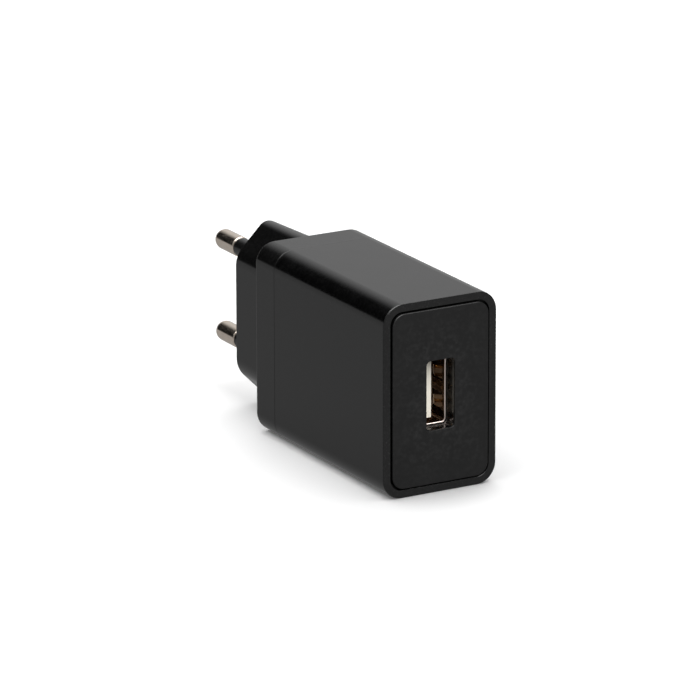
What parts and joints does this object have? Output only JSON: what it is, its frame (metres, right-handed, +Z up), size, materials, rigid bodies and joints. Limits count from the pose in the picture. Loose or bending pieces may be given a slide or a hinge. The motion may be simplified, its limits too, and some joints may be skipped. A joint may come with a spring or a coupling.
{
  "type": "usb wall charger",
  "caption": "Slim upright mains charger with a flat round-pin plug behind and a recessed upright USB-A socket in an inset front panel.",
  "frame": {"origin": "centre of the plug's engagement face, midway between the two pins", "axes": "+Y out of the plug along the pins, +Z up towards the upper pin, so the USB socket faces -Y and the narrow base faces -Z"},
  "size_m": [0.024, 0.0845, 0.0372],
  "materials": {
    "shell_plastic": "satin black moulding",
    "panel_plastic": "fine matt black texture",
    "sleeve_plastic": "black insulating sleeve",
    "inner_plastic": "dark grey moulding",
    "pin_nickel": "bright nickel plating on brass",
    "spring_brass": "phosphor bronze strip",
    "contact_gold": "gold flashed contacts",
    "usb_steel": "nickel-plated sheet steel",
    "usb_insulator": "cream moulding",
    "board_green": "green solder mask on glass fibre",
    "solder": "bright tin solder",
    "clear_sheet": "polyester film",
    "bulk_sleeve": "dark shrink sleeve",
    "output_sleeve": "dark green shrink sleeve",
    "choke_sleeve": "varnished copper on ferrite",
    "resistor_body": "pale blue lacquer",
    "chip_black": "moulded epoxy",
    "chip_part": "ceramic with tinned ends",
    "ferrite": "ground ferrite",
    "bobbin_plastic": "black phenolic",
    "winding_tape": "yellow polyester tape",
    "ceramic_blue": "blue lacquer on ceramic"
  },
  "bodies": {
    "charger": {"main_shell": "shell_plastic", "rear_cap": "shell_plastic", "front_panel": "panel_plastic", "pin_upper": "pin_nickel", "pin_lower": "pin_nickel", "sleeve_upper": "sleeve_plastic", "sleeve_lower": "sleeve_plastic", "pin_lock_plate": "inner_plastic", "contact_blade_upper": "spring_brass", "contact_blade_lower": "spring_brass", "circuit_board": "board_green", "solder_joints": "solder", "insulating_sheet": "clear_sheet", "bulk_capacitor_upper": "bulk_sleeve", "bulk_capacitor_lower": "bulk_sleeve", "filter_choke": "choke_sleeve", "fusible_resistor": "resistor_body", "bridge_rectifier": "chip_black", "controller_chip": "chip_black", "chip_parts": "chip_part", "snubber_diode": "chip_black", "core_upper": "ferrite", "core_lower": "ferrite", "bobbin": "bobbin_plastic", "winding": "winding_tape", "bobbin_pins": "solder", "safety_capacitor": "ceramic_blue", "output_rectifier": "chip_black", "output_capacitor_upper": "output_sleeve", "output_capacitor_lower": "output_sleeve", "usb_shell": "usb_steel", "usb_insulator": "usb_insulator", "usb_terminals": "contact_gold"},
    "wiper_1": {"usb_wiper_1": "contact_gold"},
    "wiper_2": {"usb_wiper_2": "contact_gold"},
    "wiper_3": {"usb_wiper_3": "contact_gold"},
    "wiper_4": {"usb_wiper_4": "contact_gold"},
    "leaf_right_upper": {"usb_leaf_right_upper": "usb_steel"},
    "leaf_right_lower": {"usb_leaf_right_lower": "usb_steel"},
    "leaf_left_upper": {"usb_leaf_left_upper": "usb_steel"},
    "leaf_left_lower": {"usb_leaf_left_lower": "usb_steel"}
  },
  "joints": [
    {"name": "wiper_1_flex", "type": "hinge", "parent": "charger", "child": "wiper_1", "pos_m": [-0.00047, -0.054, 0.0037], "axis": [0, 0, -1], "range_deg": [0, 4], "stiffness_Nm_per_rad": 0.06},
    {"name": "wiper_2_flex", "type": "hinge", "parent": "charger", "child": "wiper_2", "pos_m": [-0.00047, -0.054, 0.0012], "axis": [0, 0, -1], "range_deg": [0, 4], "stiffness_Nm_per_rad": 0.06},
    {"name": "wiper_3_flex", "type": "hinge", "parent": "charger", "child": "wiper_3", "pos_m": [-0.00047, -0.054, -0.0008], "axis": [0, 0, -1], "range_deg": [0, 4], "stiffness_Nm_per_rad": 0.06},
    {"name": "wiper_4_flex", "type": "hinge", "parent": "charger", "child": "wiper_4", "pos_m": [-0.00047, -0.054, -0.0033], "axis": [0, 0, -1], "range_deg": [0, 4], "stiffness_Nm_per_rad": 0.06},
    {"name": "leaf_right_upper_flex", "type": "hinge", "parent": "charger", "child": "leaf_right_upper", "pos_m": [0.00271, -0.06167, 0.0031], "axis": [0, 0, -1], "range_deg": [0, 7], "stiffness_Nm_per_rad": 0.025},
    {"name": "leaf_right_lower_flex", "type": "hinge", "parent": "charger", "child": "leaf_right_lower", "pos_m": [0.00271, -0.06167, -0.0027], "axis": [0, 0, -1], "range_deg": [0, 7], "stiffness_Nm_per_rad": 0.025},
    {"name": "leaf_left_upper_flex", "type": "hinge", "parent": "charger", "child": "leaf_left_upper", "pos_m": [-0.00271, -0.06167, 0.0031], "axis": [0, 0, 1], "range_deg": [0, 7], "stiffness_Nm_per_rad": 0.025},
    {"name": "leaf_left_lower_flex", "type": "hinge", "parent": "charger", "child": "leaf_left_lower", "pos_m": [-0.00271, -0.06167, -0.0027], "axis": [0, 0, 1], "range_deg": [0, 7], "stiffness_Nm_per_rad": 0.025}
  ]
}
